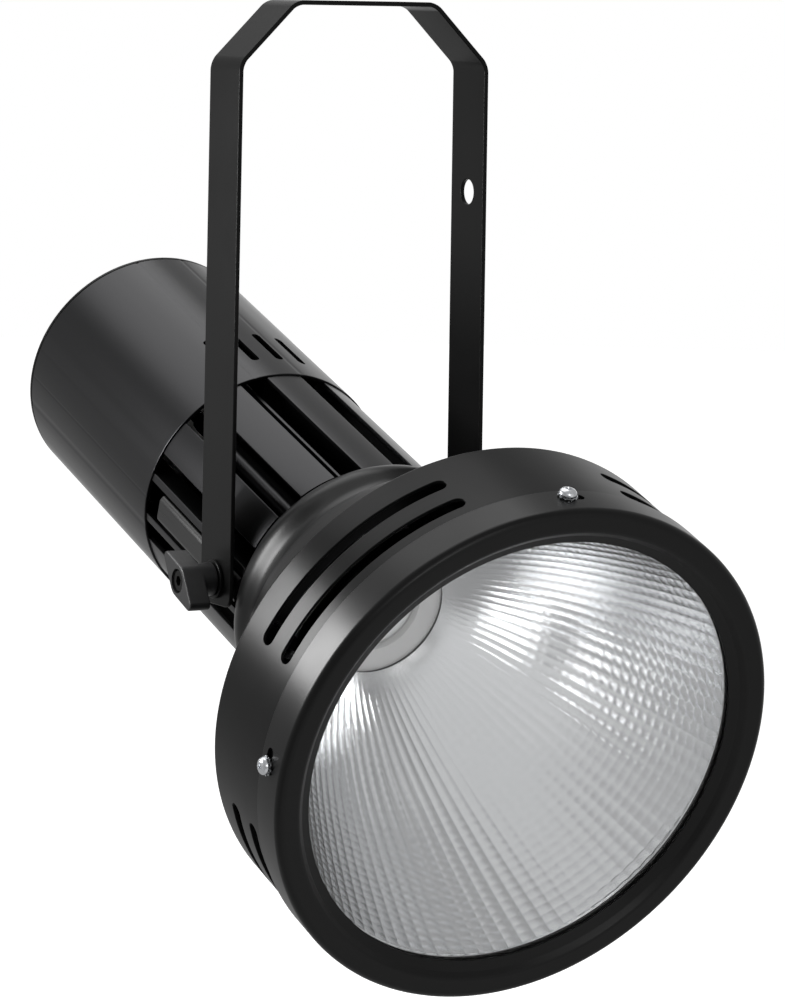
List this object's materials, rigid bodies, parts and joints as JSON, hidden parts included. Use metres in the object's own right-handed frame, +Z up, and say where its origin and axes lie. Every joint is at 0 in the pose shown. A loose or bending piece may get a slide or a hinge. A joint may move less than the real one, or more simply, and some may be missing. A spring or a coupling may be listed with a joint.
{
  "type": "led spotlight",
  "caption": "Theatre-style LED spotlight: finned lamp head with a slotted front ring and faceted reflector, tilting in a flat steel U-bracket with wing knobs.",
  "frame": {"origin": "middle of the bracket's top face, where its clamp hole is", "axes": "+Z up along the bracket, +X along the tilt axis, and the lamp looks towards -Y and, at rest, 19.3 degrees down"},
  "size_m": [0.2378, 0.4382, 0.4188],
  "materials": {
    "steel_black": "satin black powder coat",
    "anodised_black": "satin black anodised",
    "zinc": "bright zinc plate",
    "steel_blued": "blackened steel",
    "plastic_black": "fine matt",
    "rubber_black": "matt",
    "mirror_metal": "faceted mirror",
    "glass_clear": "clear and polished",
    "aluminium_plain": "plain mill finish",
    "plastic_white": "smooth white",
    "emitter_pale": "pale silicone over the chips",
    "driver_white": "off-white case",
    "lead_sleeve": "matt sleeve"
  },
  "bodies": {
    "bracket": {"yoke_bracket": "steel_black"},
    "head": {"front_bezel": "steel_black", "ring_housing": "steel_black", "bell": "steel_black", "rear_cover": "steel_black", "heatsink": "anodised_black", "rear_sleeve": "anodised_black", "front_glass": "glass_clear", "glass_seal": "rubber_black", "reflector_support_ring": "aluminium_plain", "reflector": "mirror_metal", "bezel_screw_1": "zinc", "bezel_screw_2": "zinc", "bezel_screw_3": "zinc", "bezel_screw_4": "zinc", "bezel_star_washer_1": "zinc", "bezel_star_washer_2": "zinc", "bezel_star_washer_3": "zinc", "bezel_star_washer_4": "zinc", "bell_screw_1": "zinc", "bell_screw_2": "zinc", "bell_screw_3": "zinc", "bell_screw_4": "zinc", "neck_screw_1": "zinc", "neck_screw_2": "zinc", "neck_screw_3": "zinc", "neck_screw_4": "zinc", "cover_screw_1": "zinc", "cover_screw_2": "zinc", "cover_screw_3": "zinc", "cover_screw_4": "zinc", "tie_rod_1": "zinc", "tie_rod_2": "zinc", "tie_rod_3": "zinc", "tie_rod_4": "zinc", "gland_body": "plastic_black", "gland_nut": "plastic_black", "gland_locknut": "plastic_black", "gland_seal": "rubber_black", "driver": "driver_white", "driver_plate": "aluminium_plain", "heat_spreader": "aluminium_plain", "led_board": "plastic_white", "led_emitter": "emitter_pale", "led_holder": "plastic_white", "led_lead": "lead_sleeve", "slide_nut_left": "steel_blued", "slide_nut_right": "steel_blued", "pivot_star_washer_left": "zinc", "pivot_star_washer_right": "zinc"},
    "knob_left": {"wing_knob_left": "plastic_black", "knob_washer_left": "steel_black", "knob_screw_left": "steel_black"},
    "knob_right": {"wing_knob_right": "plastic_black", "knob_washer_right": "steel_black", "knob_screw_right": "steel_black"}
  },
  "joints": [
    {"name": "head_tilt", "type": "hinge", "parent": "bracket", "child": "head", "pos_m": [0, 0, -0.2525], "axis": [1, 0, 0], "range_deg": [-41, 182]},
    {"name": "knob_left_turn", "type": "hinge", "parent": "head", "child": "knob_left", "pos_m": [-0.0646, 0, -0.2525], "axis": [-1, 0, 0], "continuous": true},
    {"name": "knob_right_turn", "type": "hinge", "parent": "head", "child": "knob_right", "pos_m": [0.0646, 0, -0.2525], "axis": [1, 0, 0], "continuous": true}
  ]
}
